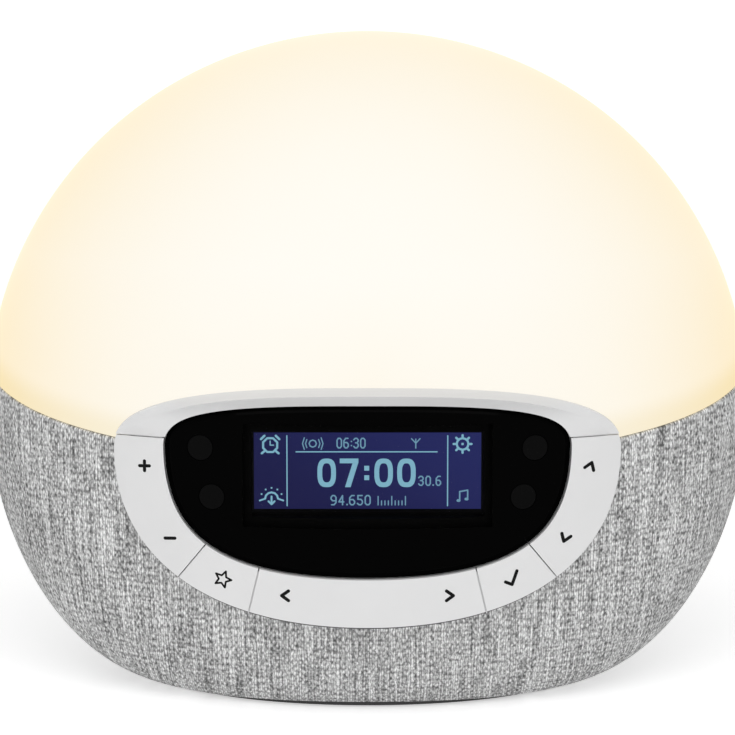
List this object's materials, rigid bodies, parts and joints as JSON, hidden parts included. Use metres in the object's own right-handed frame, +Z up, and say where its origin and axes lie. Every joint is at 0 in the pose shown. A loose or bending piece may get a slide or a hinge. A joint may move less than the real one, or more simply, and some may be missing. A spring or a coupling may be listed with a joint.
{
  "type": "sunrise alarm clock",
  "caption": "Domed wake-up light on a fabric-covered base, with a curved control panel, display, rocker keys, and a loudspeaker in the back.",
  "frame": {"origin": "middle of the footprint, on the surface that the clock stands on", "axes": "+X to the right seen from the front, +Y to the back, +Z up; the control panel faces -Y"},
  "size_m": [0.21, 0.1252, 0.18],
  "materials": {
    "diffuser": "opal, satin",
    "gasket": "soft, matt",
    "deck": "white, matt",
    "circuit_board": "solder resist",
    "warm_light": "phosphor",
    "spreader": "anodised",
    "screw": "zinc plated",
    "cover_fabric": "woven, heathered grey",
    "housing": "moulded, fine texture",
    "base": "moulded, fine texture",
    "foot": "matt",
    "component": "moulded",
    "shield": "tinned",
    "rear_plastic": "moulded, fine texture",
    "inlet": "moulded",
    "basket": "pressed, painted",
    "magnet": "ferrite",
    "surround": "matt",
    "cone": "pressed paper",
    "fascia": "pale grey, satin",
    "cover_plate": "moulded",
    "window": "black, polished",
    "display": "indigo, lit",
    "backlight": "light guide",
    "bezel": "moulded",
    "mat": "silicone",
    "ribbon": "polyimide film",
    "key": "pale grey, satin",
    "soft_key": "soft-touch, matt"
  },
  "bodies": {
    "clock": {"diffuser_dome": "diffuser", "dome_gasket": "gasket", "light_deck": "deck", "led_board": "circuit_board", "warm_leds": "warm_light", "heat_spreader": "spreader", "lamp_screws": "screw", "fabric_cover": "cover_fabric", "housing_shell": "housing", "base_plate": "base", "rubber_feet": "foot", "base_screws": "screw", "main_board": "circuit_board", "board_parts": "component", "radio_module": "shield", "board_screws": "screw", "rear_panel": "rear_plastic", "rear_screws": "screw", "dc_inlet": "inlet", "speaker_basket": "basket", "speaker_magnet": "magnet", "speaker_surround": "surround", "speaker_screws": "screw", "fascia_frame": "fascia", "fascia_screws": "screw", "module_cover": "cover_plate", "display_window": "window", "lcd_glass": "display", "backlight": "backlight", "lcd_bezel": "bezel", "key_board": "circuit_board", "keypad_mat": "mat", "display_ribbon": "ribbon"},
    "key_volume": {"key_volume": "key"},
    "key_scroll": {"key_scroll": "key"},
    "key_tune": {"key_tune": "key"},
    "key_preset": {"key_preset": "key"},
    "key_select": {"key_select": "key"},
    "soft_key_upper_left": {"soft_key_upper_left": "soft_key"},
    "soft_key_upper_right": {"soft_key_upper_right": "soft_key"},
    "soft_key_lower_left": {"soft_key_lower_left": "soft_key"},
    "soft_key_lower_right": {"soft_key_lower_right": "soft_key"},
    "speaker_cone": {"speaker_cone": "cone"}
  },
  "joints": [
    {"name": "volume_rock", "type": "hinge", "parent": "clock", "child": "key_volume", "pos_m": [-0.05543, -0.04235, 0.0605], "axis": [-0.9439, 0, -0.3304], "range_deg": [-1.3, 1.3], "stiffness_Nm_per_rad": 0.4, "deforming": ["keypad_mat"]},
    {"name": "scroll_rock", "type": "hinge", "parent": "clock", "child": "key_scroll", "pos_m": [0.05543, -0.04235, 0.0605], "axis": [0.9439, 0, -0.3304], "range_deg": [-1.3, 1.3], "stiffness_Nm_per_rad": 0.4, "deforming": ["keypad_mat"]},
    {"name": "tune_rock", "type": "hinge", "parent": "clock", "child": "key_tune", "pos_m": [0, -0.05225, 0.0374], "axis": [0, 0, 1], "range_deg": [-0.9, 0.9], "stiffness_Nm_per_rad": 0.4, "deforming": ["keypad_mat"]},
    {"name": "preset_press", "type": "slide", "parent": "clock", "child": "key_preset", "axis": [0, 1, 0], "range_m": [0, 0.0006], "stiffness_N_per_m": 1500, "deforming": ["keypad_mat"]},
    {"name": "select_press", "type": "slide", "parent": "clock", "child": "key_select", "axis": [0, 1, 0], "range_m": [0, 0.0006], "stiffness_N_per_m": 1500, "deforming": ["keypad_mat"]},
    {"name": "soft_key_upper_left_press", "type": "slide", "parent": "clock", "child": "soft_key_upper_left", "axis": [0, 1, 0], "range_m": [0, 0.0006], "stiffness_N_per_m": 1500, "deforming": ["keypad_mat"]},
    {"name": "soft_key_upper_right_press", "type": "slide", "parent": "clock", "child": "soft_key_upper_right", "axis": [0, 1, 0], "range_m": [0, 0.0006], "stiffness_N_per_m": 1500, "deforming": ["keypad_mat"]},
    {"name": "soft_key_lower_left_press", "type": "slide", "parent": "clock", "child": "soft_key_lower_left", "axis": [0, 1, 0], "range_m": [0, 0.0006], "stiffness_N_per_m": 1500, "deforming": ["keypad_mat"]},
    {"name": "soft_key_lower_right_press", "type": "slide", "parent": "clock", "child": "soft_key_lower_right", "axis": [0, 1, 0], "range_m": [0, 0.0006], "stiffness_N_per_m": 1500, "deforming": ["keypad_mat"]},
    {"name": "cone_travel", "type": "slide", "parent": "clock", "child": "speaker_cone", "axis": [0, 1, 0], "range_m": [-0.0008, 0.0008], "stiffness_N_per_m": 1500, "deforming": ["speaker_surround"]}
  ]
}
